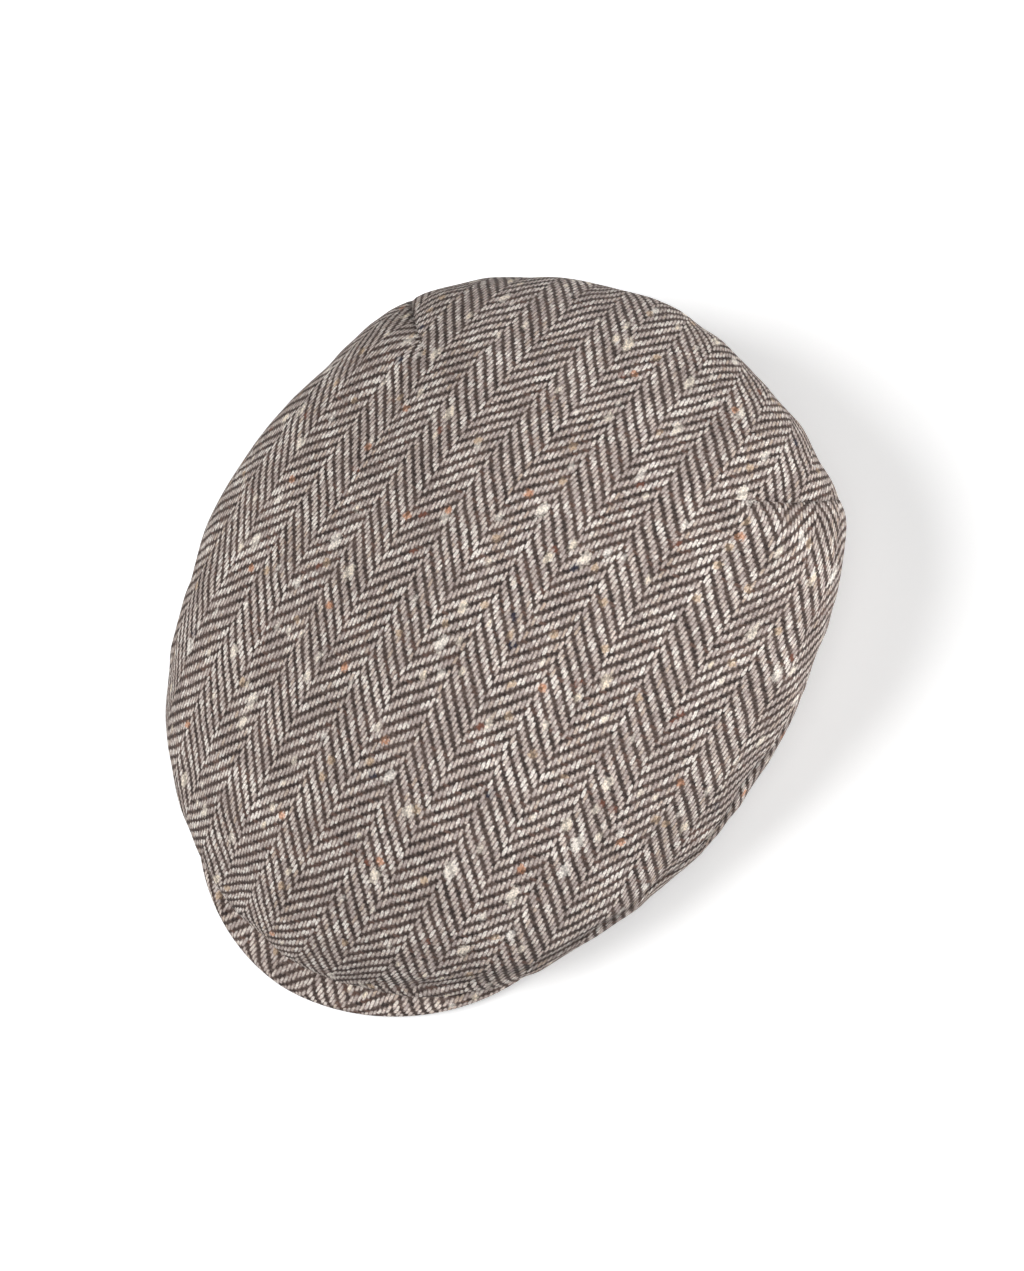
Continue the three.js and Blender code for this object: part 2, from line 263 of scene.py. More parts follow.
def past_crease(az, t):
    """How far t is past the crease, and how strong the crease is there: a bell with
    a flat top, exp(-(angle / reach)^4)."""
    angle = turn_between(az, CREASE_MIDDLE)
    strength = np.exp(-((angle / CREASE_REACH) ** 4))
    return t - np.interp(CREASE_MIDDLE + angle, CREASE["az"], CREASE["t"]), strength


def soft_waves(x, y, size, seed, count=24):
    """Sum of plane waves with lengths near `size` mm in seeded random directions,
    scaled so that its spread is about 1."""
    rng = np.random.default_rng(seed)
    total = 0.0
    for angle, length, phase in zip(
        rng.uniform(0, np.pi, count),
        size * rng.uniform(0.7, 1.5, count),
        rng.uniform(0, 2 * np.pi, count),
    ):
        along = x * np.cos(angle) + y * np.sin(angle)
        total = total + np.cos(2 * np.pi * along / length + phase)
    return total * np.sqrt(2 / count)


print("deepest fold:", min(v[4] for v in FOLDS.values()) * CROWN_HEIGHT, "mm")

# %% [markdown]
# ## The crown's grid
# The crown is one closed shell: the outer face runs from the top down to the
# hem, rounds the hem, and the inner face runs back up. Rows lie closest at the
# rolled edge, where the cloth bends most. A pair of columns sits right beside
# each dart seam, so the weave can jump there as it does in sewn cloth.

# %% Places round and down the crown
AROUND = 620
# degrees beside a seam that get columns of their own, and how near to them
# an evenly spaced column may lie
BESIDE_SEAM = np.array([-0.9, -0.35, -0.03, 0.03, 0.35, 0.9])
CLEAR_OF_SEAM = 0.25
# rows on the dome and on the turned edge, and the powers that crowd them
DOME_ROWS = 78
TURN_ROWS = 34
DOME_CROWDING = 0.8
TURN_CROWDING = 1.15

even = np.arange(AROUND) * 360.0 / AROUND - 90.0
seams = np.concatenate([dart["az"] + BESIDE_SEAM for dart in DARTS])
gaps = np.abs(turn_between(even[:, None], seams[None, :])).min(1)
round_places = np.sort(np.concatenate([even[gaps > CLEAR_OF_SEAM], seams]))

dome_steps = np.linspace(0, 1, DOME_ROWS + 1)[1:]
dome_places = np.sin(dome_steps * np.pi / 2) ** DOME_CROWDING
turn_places = 1 + np.linspace(0, 1, TURN_ROWS + 1)[1:] ** TURN_CROWDING
down_places = np.concatenate([dome_places, turn_places])
widest = int(np.argmin(np.abs(down_places - 1)))
column, t = np.meshgrid(round_places, down_places)
az = column + dart_lean(column, t)
print("crown grid:", az.shape, "outer triangles:", 2 * az.size)


# %% Cloth coordinates before cutting
def row_lengths(points):
    """Distance down the cloth from the highest point to every row."""
    top = np.broadcast_to([0.0, TOP_Y, CROWN_HEIGHT], points[:1].shape)
    steps = np.linalg.norm(np.diff(np.concatenate([top, points]), axis=0), axis=-1)
    return np.cumsum(steps, axis=0)


smooth = rounded_surface(az, t)
length_down = row_lengths(smooth)
dx, dy = direction_at(az)
plan = np.stack([dx, dy], -1) / np.hypot(dx, dy)[..., None]
flat_x, flat_y = length_down * plan[..., 0], length_down * plan[..., 1]
print("longest way down the cloth:", length_down[-1].max().round(1), "mm")


# %% The outer and inner faces
def face_normals(points):
    """Normal of a closed ring grid: cross product of the step round and the step
    down, pointing out."""
    round_step = np.roll(points, -1, 1) - np.roll(points, 1, 1)
    down_step = np.gradient(points, axis=0)
    normal = np.cross(down_step, round_step)
    return normal / np.linalg.norm(normal, axis=-1, keepdims=True)


# (height in mm, length in mm, seed) of the slow and the short waves
WAVES = ((0.30, 46, 5), (0.10, 17, 8))
# the waves grow over this many mm from the top, and every move dies away
# at this rate towards the hem band
WAVES_GROW_OVER = 60
SETTLE_RATE = 3
settle = np.clip((2 - t) * SETTLE_RATE, 0, 1)
waves = sum(high * soft_waves(flat_x, flat_y, long, seed) for high, long, seed in WAVES)
waves = waves * np.clip(length_down / WAVES_GROW_OVER, 0, 1)
past, crease = past_crease(az, t)
groove = crease * np.exp(-((past / CREASE_HALF) ** 2))
move = (fold_rise(az, t) - dart_sink(az, t) - CREASE_DEPTH * groove + waves) * settle
outer = smooth + face_normals(smooth) * move[..., None]
outer_normals = face_normals(outer)
inner = outer - outer_normals * CLOTH
print("cloth moved by", move.min().round(2), "to", move.max().round(2), "mm")

# %% [markdown]
# ## How the pattern lies on the cap
# Tweed is woven flat and then pulled over the block, so its threads run almost
# straight over the top and drift a little near the edges. The distances down
# the cloth give flat coordinates, and two small tables turn them into thread
# and pick counts: a straight part, and a correction that follows how the
# columns bend in the photo. One herringbone column is twelve threads wide.

# %% Thread and pick counts
SCALE = 120.0
# count = start + across * x + along * y
THREADS = {"start": -34.97, "across": 104.66, "along": -0.48}
PICKS = {"start": 33.01, "across": 3.12, "along": 90.58}
# (power of x, power of y): (threads, picks)
DRIFT = {
    (0, 2): (5.0, -4.2),
    (0, 3): (7.3, -5.7),
    (0, 4): (5.9, -1.1),
    (1, 1): (-0.1, -6.3),
    (1, 2): (-6.6, -3.2),
    (1, 3): (-0.4, 0.2),
    (2, 0): (1.4, -9.1),
    (2, 1): (2.5, 1.1),
    (2, 2): (4.7, 6.7),
    (3, 0): (-5.2, -1.3),
    (3, 1): (0.8, -4.5),
    (4, 0): (3.1, -3.1),
}
print("threads per mm across:", round(THREADS["across"] / SCALE, 3))


# %% From flat coordinates to counts
def weave_counts(x, y, limit):
    """Threads and picks: linear in x and y, plus the drift polynomial held at its
    value on the widest line for cloth that lies beyond it."""
    threads = THREADS["start"] + (THREADS["across"] * x + THREADS["along"] * y) / SCALE
    picks = PICKS["start"] + (PICKS["across"] * x + PICKS["along"] * y) / SCALE
    inside = np.minimum(1, limit / np.maximum(np.hypot(x, y), 1e-9)) / SCALE
    for (i, j), (du, dv) in DRIFT.items():
        term = (x * inside) ** i * (y * inside) ** j
        threads, picks = threads + du * term, picks + dv * term
    return threads, picks


print("counts at the highest point:", np.round(weave_counts(0.0, 0.0, 1.0), 2))

# %% The turn of the pattern beside each dart
WEDGE_REACH = 60.0
# beyond the crease the cloth is gathered, so the pattern turns there: threads
# and picks added for each unit of t past the crease, up to `reach`
GATHER = {"threads": 20.0, "picks": -14.0, "reach": 0.35}


def wedge_turn(x, y, az, t):
    """A dart takes a wedge out of the flat cloth, so on one side of its seam the
    cloth is turned about the tip: by the wedge at the seam itself, dying away as
    a bell of the angle WEDGE_REACH degrees wide."""
    for dart in DARTS:
        side = beside_dart(dart, az, t)
        on_seam = np.abs(turn_between(round_places, dart["az"])).argmin()
        tip_row = np.abs(down_places - dart["tip"]).argmin()
        tip = np.array([flat_x[tip_row, on_seam], flat_y[tip_row, on_seam]])
        end = np.array([flat_x[widest, on_seam], flat_y[widest, on_seam]])
        from_x, from_y = x - tip[0], y - tip[1]
        bearing = np.degrees(np.arctan2(from_y, from_x) - np.arctan2(*(end - tip)[::-1]))
        bell = np.exp(-((turn_between(bearing, 0.0) / WEDGE_REACH) ** 2))
        here = np.sign(side) == dart["side"]
        angle = np.radians(dart["side"] * dart["wedge"]) * np.where(here, bell, 0)
        x = tip[0] + from_x * np.cos(angle) - from_y * np.sin(angle)
        y = tip[1] + from_x * np.sin(angle) + from_y * np.cos(angle)
    return x, y


cloth_x, cloth_y = wedge_turn(flat_x, flat_y, az, t)
threads, picks = weave_counts(cloth_x, cloth_y, length_down[widest][None, :])
gathered = np.clip(past, 0, GATHER["reach"]) * crease
threads = threads + GATHER["threads"] * gathered
picks = picks + GATHER["picks"] * gathered
print("threads across:", np.ptp(threads).round(), "picks along:", np.ptp(picks).round())

# %% Painted shade of the seams and the crease
# Painted shade: a seam hollow or the crease is drawn darker than the cloth beside it,
# as the shade that falls in the fold; how much of the colour it takes away
SEAM_PAINTED_SHADE = 0.45
CREASE_PAINTED_SHADE = 0.55


def seam_lines(az, t):
    """A narrow bell along each dart seam, from a little past the tip, that carries the seam's painted
    shade.
    """
    lines = 0.0
    for dart in DARTS:
        grown = np.clip((t - dart["tip"]) / DART_GROWTH, 0, 1)
        lines = lines + grown * np.exp(-((beside_dart(dart, az, t) / SEAM_HALF) ** 2))
    return lines


# painted shade: darkening along the dart seams and in the crease, where shade falls in the folds
shade = SEAM_PAINTED_SHADE * seam_lines(az, t) + CREASE_PAINTED_SHADE * groove
print("darkest line:", shade.max().round(2))

# %% [markdown]
# ## Putting surfaces into meshes
# Every piece here is a stack of closed rings. One helper joins the rings,
# closes both ends and keeps the thread count, the pick count and the painted
# shade of the folds as a point attribute, which the cloth material reads. The
# rings are whole arrays, so no loop runs over single vertices.


# %% Mesh helpers
def ring_faces(rows, columns):
    """Quads between neighbouring rings of a grid that closes round, and triangle
    fans from a first and a last single point."""
    i = np.arange(columns)
    j = (i + 1) % columns
    start = 1 + np.arange(rows - 1)[:, None] * columns
    quads = np.stack(
        [start + i, start + columns + i, start + columns + j, start + j], -1
    ).reshape(-1, 4)
    first = np.stack([0 * i, 1 + i, 1 + j], -1)
    last_ring = 1 + (rows - 1) * columns
    last = np.stack([last_ring + j, last_ring + i, 0 * i + 1 + rows * columns], -1)
    return quads.tolist() + first.tolist() + last.tolist()


def add_object(name, data):
    """A new object at the origin that holds some data, linked to the scene."""
    made = bpy.data.objects.new(name, data)
    bpy.context.scene.collection.objects.link(made)
    return made


def make_piece(name, rings, first, last, counts, count_first, count_last, painted_shades):
    """A closed mesh in metres from rings of points in mm, with the `cloth`
    attribute (threads, picks, painted shade) on every point."""
    rows, columns = rings.shape[:2]
    points = np.concatenate([[first], rings.reshape(-1, 3), [last]]) - ORIGIN
    cloth = np.concatenate([[count_first], counts.reshape(-1, 2), [count_last]])
    mesh = bpy.data.meshes.new(name)
    mesh.from_pydata((points / 1000).tolist(), [], ring_faces(rows, columns))
    mesh.update()
    mesh.shade_smooth()
    layer = mesh.attributes.new("cloth", "FLOAT_VECTOR", "POINT")
    values = np.column_stack([cloth, np.pad(painted_shades.ravel(), 1)])
    layer.data.foreach_set("vector", values.ravel())
    print(name, "triangles:", sum(len(p.vertices) - 2 for p in mesh.polygons))
    return add_object(name, mesh)


print("mesh helpers ready")

# %% Rings of the hem and of the inner face
# rows on the upright band, and points round the bottom of the hem
BAND_ROWS = 3
HEM_ROUND = CLOTH / 2
HEM_POINTS = 9
# the inner face keeps one row in six, from a few rows above the band up to a
# few rows from the top
INNER_STEP = 6
INNER_FIRST = 5
INNER_LAST = 3

hem_places = az[-1]
band_az, band_t = np.meshgrid(hem_places, np.linspace(2, 3, BAND_ROWS + 2)[1:-1])
band = bare_surface(band_az, band_t)
out_normal = outer_normals[-1].copy()
out_normal[:, 2] = 0
out_normal /= np.linalg.norm(out_normal, axis=-1, keepdims=True)
foot = bare_surface(hem_places, np.full(len(hem_places), 3.0))
curl = np.radians(np.linspace(0, 180, HEM_POINTS))[:, None, None]
hem_roll = foot + out_normal * (HEM_ROUND * (np.cos(curl) - 1))
hem_roll = hem_roll + np.array([0, 0, 1]) * HEM_ROUND * (1 - np.sin(curl))
inner_band = foot[None] - out_normal[None] * CLOTH
inner_heights = (outline_at("band", hem_places) * HEM_BAND + CLOTH)[None, :]
inner_band = inner_band * [1, 1, 0] + inner_heights[..., None] * [0, 0, 1]
turn_rows = np.arange(TURN_ROWS - INNER_FIRST, 0, -INNER_STEP) + DOME_ROWS
dome_rows = np.arange(DOME_ROWS - 1, INNER_LAST, -INNER_STEP)
inner_rows = np.concatenate([turn_rows, dome_rows])
rings = np.concatenate([outer, band, hem_roll, inner_band, inner[inner_rows]])
print("rings and columns of the crown:", rings.shape[:2])


# %% Cloth counts on the band and inside, and the crown itself
RATE_ROWS = 3
CURL_LENGTH = 4.0


def continue_down(counts, drop):
    """Counts `drop` mm below the last row: last + drop times the change for each
    mm over the last RATE_ROWS rows."""
    before = -1 - RATE_ROWS
    rate = (counts[-1] - counts[before]) / (length_down[-1] - length_down[before])[:, None]
    return counts[-1][None] + rate[None] * drop[..., None]


counts = np.stack([threads, picks], -1)
edge_height = smooth[-1][None, :, 2]
band_counts = continue_down(counts, edge_height - band[..., 2])
round_hem = np.linspace(0, CURL_LENGTH, HEM_POINTS)[:, None]
curl_counts = continue_down(counts, edge_height + round_hem)
all_counts = np.concatenate(
    [counts, band_counts, curl_counts, counts[-1][None], counts[inner_rows]]
)
top_counts = np.array(weave_counts(0.0, 0.0, 1.0))
# the painted shade of the seams and the crease, zero on the band, hem and inner face
all_painted_shades = np.zeros(rings.shape[:2])
all_painted_shades[: len(shade)] = shade
crown = make_piece(
    "crown_cloth",
    rings,
    [0, TOP_Y, CROWN_HEIGHT],
    [0, TOP_Y, CROWN_HEIGHT - CLOTH],
    all_counts,
    top_counts,
    top_counts,
    all_painted_shades,
)

# %% [markdown]
# ## The peak
# The peak is a thin stiff crescent covered in the same tweed, with its own
# herringbone columns running front to back. It starts against the hem band
# under the crown's front roll. Each cross-section is a flat strip with a
# rounded outer rim, and the sections are joined from one end to the other.

# %% Peak sections
GAP = 0.3
PEAK_DEPTH = 47.0
PEAK_THICKNESS = 3.2
PEAK_HALF_ANGLE = 53.0
PEAK_TURN = -1.0
PEAK_SQUARE = 1.66
PEAK_END_DEPTH = 0.09 * PEAK_DEPTH
PEAK_DROOP = 0.06 * PEAK_DEPTH
# how finely it is made: sections, points across a face, points round the rim
PEAK_SECTIONS = 221
FACE_POINTS = 19
RIM_POINTS = 13


def peak_surface(turn, share, rise):
    """A point at `share` of the local depth out from the hem ellipse, `rise` above
    the underside. The depth grows as (1 - away^square)^(1/square)."""
    across, along = HEM_WIDTH / 2 + GAP, HEM_LENGTH / 2 + GAP
    x = across * np.sin(np.radians(turn))
    y = HEM_Y - along * np.cos(np.radians(turn))
    ox, oy = x / across**2, (y - HEM_Y) / along**2
    size = np.hypot(ox, oy)
    away = np.clip(np.abs(turn - PEAK_TURN) / PEAK_HALF_ANGLE, 0, 1)
    grown = (1 - away**PEAK_SQUARE) ** (1 / PEAK_SQUARE)
    depth = PEAK_END_DEPTH + (PEAK_DEPTH - PEAK_END_DEPTH) * grown
    px, py = x + ox / size * depth * share, y + oy / size * depth * share
    az = np.degrees(np.arctan2((py - TOP_Y) / CROWN_LENGTH, px / CROWN_WIDTH))
    top = outline_at("band", az) * HEM_BAND - GAP
    under = np.maximum(top - PEAK_DROOP * share**2 * grown - PEAK_THICKNESS, 0)
    return np.stack([px, py, under + rise], -1), depth


end_to_end = np.sin(np.radians(np.linspace(90, -90, PEAK_SECTIONS)))
section_turns = PEAK_TURN + PEAK_HALF_ANGLE * end_to_end
inner_shares = np.linspace(0, 1, FACE_POINTS)
rim = np.radians(np.linspace(90, -90, RIM_POINTS))[1:-1]
print("peak sections:", len(section_turns))

# %% Build the peak
turns = section_turns[:, None]
half = PEAK_THICKNESS / 2
_, depth = peak_surface(turns, 0 * turns, 0)
rim_start = 1 - half / depth
shares = np.concatenate(
    [
        inner_shares[None] * rim_start,
        rim_start + np.cos(rim[None]) * half / depth,
        inner_shares[None, ::-1] * rim_start,
    ],
    1,
)
rises = np.concatenate(
    [
        np.full(inner_shares.shape, PEAK_THICKNESS),
        half + half * np.sin(rim),
        np.zeros(inner_shares.shape),
    ]
)
sections, _ = peak_surface(turns, shares, rises[None])
print("points on a section:", sections.shape[1])

# %% How the pattern lies on the peak, and the peak itself
# mm of cloth to a thread and to a pick, and where the first column starts
PEAK_PHASE = 6.1
PEAK_THREAD = 1.22
PEAK_PICK = 1.34
# mm of cloth used up round the rim: at its first point, its last, and below it
WRAP_FIRST, WRAP_LAST, WRAP_BELOW = 0.3, 4.5, 5.0

round_rim = np.linspace(WRAP_FIRST, WRAP_LAST, len(rim))
wrap = np.concatenate([0 * inner_shares, round_rim, 0 * inner_shares + WRAP_BELOW])
out = np.stack([sections[..., 0], sections[..., 1] - HEM_Y], -1)
out /= np.linalg.norm(out, axis=-1, keepdims=True)
lie = sections[..., :2] + out * wrap[None, :, None]
peak_counts = np.stack(
    [lie[..., 0] / PEAK_THREAD + PEAK_PHASE, lie[..., 1] / PEAK_PICK], -1
)
peak = make_piece(
    "peak_cloth",
    sections,
    sections[0].mean(0),
    sections[-1].mean(0),
    peak_counts,
    peak_counts[0].mean(0),
    peak_counts[-1].mean(0),
    np.zeros(sections.shape[:2]),
)


# %% [markdown]
# ## Herringbone as shader nodes
# A herringbone is a two-up two-down twill whose diagonal turns back every
# twelve threads. For each point the nodes count the thread and the pick, work
# out which of the two lies on top, and how far along its float and across its
# width the point is. That gives colour and height together. It could be an
# image, but counting threads keeps it sharp at any size.


# %% Helpers for one node each
def fill(tree, node, values):
    """Give a node its inputs by name or number: a socket is linked, and a plain
    number or colour is typed in."""
    for key, value in values.items():
        if isinstance(value, bpy.types.NodeSocket):
            tree.links.new(value, node.inputs[key])
        else:
            node.inputs[key].default_value = value


def calc(tree, operation, *values):
    """One Math node on sockets or plain numbers."""
    node = tree.nodes.new("ShaderNodeMath")
    node.operation = operation
    fill(tree, node, dict(enumerate(values)))
    return node.outputs[0]


def blend_colors(tree, factor, first, second):
    """first + (second - first) * factor for colours. A Mix node keeps its factor
    in socket 0 and its two colours in sockets 6 and 7."""
    node = tree.nodes.new("ShaderNodeMix")
    node.data_type = "RGBA"
    fill(tree, node, {0: factor, 6: first, 7: second})
    return node.outputs[2]


def blend_values(tree, factor, first, second):
    """first + (second - first) * factor for plain values."""
    return calc(tree, "MULTIPLY_ADD", factor, calc(tree, "SUBTRACT", second, first), first)


def pack_vector(tree, x, y, z=0.0):
    """Three values as one vector."""
    node = tree.nodes.new("ShaderNodeCombineXYZ")
    fill(tree, node, {"X": x, "Y": y, "Z": z})
    return node.outputs[0]


def noise(tree, vector, scale, detail=2.0):
    """Smooth noise around 0.5 at a vector."""
    node = tree.nodes.new("ShaderNodeTexNoise")
    fill(tree, node, {"Vector": vector, "Scale": scale, "Detail": detail})
    return node.outputs["Fac"]


def random_of(tree, x, y):
    """A random value that is the same for equal x and y."""
    node = tree.nodes.new("ShaderNodeTexWhiteNoise")
    node.noise_dimensions = "2D"
    fill(tree, node, {"Vector": pack_vector(tree, x, y)})
    return node.outputs["Value"]


def smooth_step(tree, value, low, high):
    """0 below low, 1 above high, and x * x * (3 - 2 x) of the way between."""
    node = tree.nodes.new("ShaderNodeMapRange")
    node.interpolation_type = "SMOOTHSTEP"
    fill(tree, node, {"Value": value, "From Min": low, "From Max": high})
    return node.outputs[0]


print("noise and colour helpers ready")


# %% Helpers for groups and for the cloth's own counts
def new_group(name, inputs, outputs):
    """A shader node group whose first input is the cloth's vector. The others are
    given as name: default value, and the outputs as name: kind of socket."""
    tree = bpy.data.node_groups.new(name, "ShaderNodeTree")
    tree.interface.new_socket("Cloth", in_out="INPUT", socket_type="NodeSocketVector")
    for label, value in inputs.items():
        socket = tree.interface.new_socket(label, in_out="INPUT", socket_type="NodeSocketFloat")
        socket.default_value = value
    for label, kind in outputs.items():
        tree.interface.new_socket(label, in_out="OUTPUT", socket_type="NodeSocket" + kind)
    return tree, tree.nodes.new("NodeGroupInput"), tree.nodes.new("NodeGroupOutput")


def split_cloth(tree, vector):
    """The thread and pick counts of a cloth vector, and its painted shade."""
    split = tree.nodes.new("ShaderNodeSeparateXYZ")
    fill(tree, split, {"Vector": vector})
    return split.outputs


def wander(tree, vector, offset, scale, reach):
    """Noise between -reach/2 and reach/2 at a shifted place."""
    shifted = tree.nodes.new("ShaderNodeVectorMath")
    fill(tree, shifted, {0: vector, 1: (offset, 2.4 * offset, 0.0)})
    centred = calc(tree, "SUBTRACT", noise(tree, shifted.outputs[0], scale, 3.0), 0.5)
    return calc(tree, "MULTIPLY", centred, reach)


def wandering(tree, count, vector, slow, fine):
    """A count plus a slow and a fine wander, each (offset, scale, reach)."""
    both = calc(tree, "ADD", wander(tree, vector, *slow), wander(tree, vector, *fine))
    return calc(tree, "ADD", count, both)


print("group helpers ready")

# %% The weave group: which yarn is on top, and its height
# How yarns stray from their straight place: where in the noise, how many hills
# to a yarn, and how far from side to side in yarns
THREADS_SLOW, THREADS_FINE = (0.0, 0.13, 0.9), (11.0, 0.8, 0.45)
PICKS_SLOW, PICKS_FINE = (37.0, 0.11, 1.5), (53.0, 0.8, 0.60)
# the power that rounds the ends of a stroke, and where the rib's edge lies, in
# picks from the middle of the float
STROKE_END = 2.5
RIB_EDGE = (0.75, 1.50)
FROM_WEAVE = ("Stroke", "Rib", "Weft height", "Thread", "Pick")


def weave_group():
    """Twill order = (pick +- thread) mod 4, with the warp float centred on 1. A
    stroke is as long as its float and a little more, and tapers as an ellipse."""
    tree, gin, gout = new_group(
        "herringbone weave",
        {"Threads per column": 12.0, "Step at a turn": 3.0}
        | {"Stroke length": 1.32, "Stroke width": 0.43},
        dict.fromkeys(FROM_WEAVE, "Float"),
    )
    cloth = gin.outputs["Cloth"]
    threads, picks, _ = split_cloth(tree, cloth)
    u = wandering(tree, threads, cloth, THREADS_SLOW, THREADS_FINE)
    v = wandering(tree, picks, cloth, PICKS_SLOW, PICKS_FINE)
    thread, pick = calc(tree, "FLOOR", u), calc(tree, "FLOOR", v)
    # every other column of threads runs the other way, and starts a step further
    middle = calc(tree, "ADD", thread, 0.5)
    column = calc(tree, "DIVIDE", middle, gin.outputs["Threads per column"])
    odd = calc(tree, "FLOORED_MODULO", calc(tree, "FLOOR", column), 2.0)
    way = calc(tree, "MULTIPLY_ADD", odd, 2.0, -1.0)
    start = calc(tree, "MULTIPLY", odd, gin.outputs["Step at a turn"])
    order = calc(tree, "ADD", calc(tree, "MULTIPLY_ADD", thread, way, v), start)
    # picks away from the middle of the nearest warp float, 0 to 2
    turned = calc(tree, "FLOORED_MODULO", calc(tree, "ADD", order, 1.0), 4.0)
    away = calc(tree, "ABSOLUTE", calc(tree, "SUBTRACT", turned, 2.0))
    reach = calc(tree, "DIVIDE", away, gin.outputs["Stroke length"])
    off_middle = calc(tree, "SUBTRACT", calc(tree, "FRACT", u), 0.5)
    side = calc(tree, "DIVIDE", off_middle, gin.outputs["Stroke width"])
    ends = calc(tree, "POWER", reach, STROKE_END)
    from_middle = calc(tree, "ADD", ends, calc(tree, "MULTIPLY", side, side))
    stroke = calc(tree, "SUBTRACT", 1.0, from_middle)
    rib = calc(tree, "SUBTRACT", 1.0, smooth_step(tree, away, *RIB_EDGE))
    # the weft floats between the ribs, round across the pick
    up = calc(tree, "MULTIPLY_ADD", calc(tree, "FRACT", v), 2.0, -1.0)
    weft = calc(tree, "MULTIPLY_ADD", calc(tree, "MULTIPLY", up, up), -1.0, 1.0)
    fill(tree, gout, dict(zip(FROM_WEAVE, (stroke, rib, weft, thread, pick))))
    return tree


herringbone = weave_group()
print("weave nodes:", len(herringbone.nodes))

# %% [markdown]
# ## Tweed colour
# The light warp is a grey and cream wool and the weft is dark brown. Every
# yarn has its own shade and changes slowly along its length, and the light one
# has fat places where it is whiter and fills the gap to its neighbour. Tweed
# yarn also carries neps, small lumps of cream wool, and a few flecks of tan,
# orange, rust and navy wool that were carded in. They are scattered with a
# cell pattern stretched along the yarn, and only some of the cells hold one.

# %% Wool colours, in linear light
GREY = (0.475, 0.402, 0.373, 1)
CREAM = (0.68, 0.590, 0.530, 1)
WHITE = (0.80, 0.745, 0.690, 1)
BEIGE = (0.56, 0.445, 0.355, 1)
LIGHT_GAP = (0.300, 0.236, 0.212, 1)
BLACK_BROWN = (0.044, 0.033, 0.030, 1)
BROWN = (0.108, 0.078, 0.067, 1)
RED_BROWN = (0.132, 0.078, 0.062, 1)
NEP_CREAM = (0.88, 0.76, 0.61, 1)
NEP_WHITE = (0.90, 0.84, 0.78, 1)
# how far a fleck covers the cloth: between the ribs and on them, for one that
# was carded into the dark weft or into the light warp
IN_WEFT, IN_WARP = (0.80, 0.35), (0.25, 0.70)
# name: (cover, share of the cells, start in their random values, colour)
FLECKS = {
    "tan": (IN_WARP, 0.020, 0.0, (0.60, 0.43, 0.28, 1)),
    "orange": (IN_WARP, 0.008, 0.3, (0.62, 0.27, 0.13, 1)),
    "rust": (IN_WEFT, 0.007, 0.5, (0.20, 0.080, 0.055, 1)),
    "navy": (IN_WEFT, 0.005, 0.7, (0.030, 0.033, 0.055, 1)),
}
print("kinds of fleck:", ", ".join(FLECKS))

# %% How the yarns change
# (scale, detail) of noises over the cloth: light and dark areas, stray light
# fibres on the dark yarn, uneven strokes, ragged specks, and fibre grain
AREAS = (0.10, 2.0)
STRAY = (1.9, 2.0)
UNEVEN = (1.3, 2.0)
RAGGED = (1.1, 3.0)
GRAIN = (2.1, 3.0)
# (start, end) of each change, in its noise or random value
TO_CREAM = (0.38, 0.62)
TO_BEIGE = (0.88, 1.0)
TO_FAT = (0.65, 0.83)
TO_BROWN = (0.35, 0.65)
TO_RED_BROWN = (0.78, 1.0)
TO_STRAY = (0.56, 0.70)
STROKE_EDGE = (0.0, 0.75)
# how fast the noise changes along a yarn, and how far apart neighbours lie in it
WARP_DRIFT, FAT_DRIFT, WEFT_DRIFT = 0.10, 0.30, 0.09
WARP_APART, WEFT_APART = 7.31, 5.77
FAT_PLACE = 40.0
# one over the length of a stretch of yarn that keeps its random shade
WARP_STRETCH, WEFT_STRETCH = 0.06, 0.10
# how strongly each one works
AREA_IN_FAT = 0.35
AREA_IN_LEVEL = 0.5
RED_BROWN_MOST = 0.8
STRAY_MOST = 0.35
FAT_WIDENS = 0.45
UNEVEN_WIDENS = 2.4
# painted shade across a weft yarn: its colour's factor at the dim edge, and what its round top adds
WEFT_EDGE_PAINTED_SHADE, WEFT_TOP_PAINTED_LIGHT = 0.70, 0.45
print("a random shade lasts", round(1 / WARP_STRETCH), "picks or", round(1 / WEFT_STRETCH), "threads")

# %% Sizes of the neps and flecks
# cell size in threads and picks, and where the cell pattern starts
NEP_CELLS = (4.6, 6.8, 3.1)
FLECK_CELLS = (3.6, 3.4, 8.7)
CELL_SCATTER = 0.9
# radius in cells: the smallest nep, and what the largest adds
NEP_SMALLEST, NEP_GROWTH = 0.11, 0.20
FLECK_RADIUS = 0.30
# how far a nep covers the dark yarn, and what it covers more on a rib
NEP_COVER, NEP_ON_RIB = 0.50, 0.48
# a speck's edge: the noise times the first plus the second, and its softness
SPECK_ROUGH = (2.4, -0.1)
SPECK_SOFT = 0.09
# heights as a share of a light stroke's
WEFT_HEIGHT = 0.5
NEP_HEIGHT = 0.4


def scatter(tree, cloth, size_u, size_v, offset):
    """Cells of size_u threads by size_v picks: distance from each cell's point in
    cells, and the cell's random colour split in three values."""
    mapping = tree.nodes.new("ShaderNodeMapping")
    scale, start = (1 / size_u, 1 / size_v, 1.0), (offset, 2.3 * offset, 0.0)
    fill(tree, mapping, {"Vector": cloth, "Scale": scale, "Location": start})
    cells = tree.nodes.new("ShaderNodeTexVoronoi")
    cells.voronoi_dimensions = "2D"
    at = mapping.outputs["Vector"]
    fill(tree, cells, {"Vector": at, "Scale": 1.0, "Randomness": CELL_SCATTER})
    split = tree.nodes.new("ShaderNodeSeparateColor")
    fill(tree, split, {"Color": cells.outputs["Color"]})
    return cells.outputs["Distance"], *split.outputs


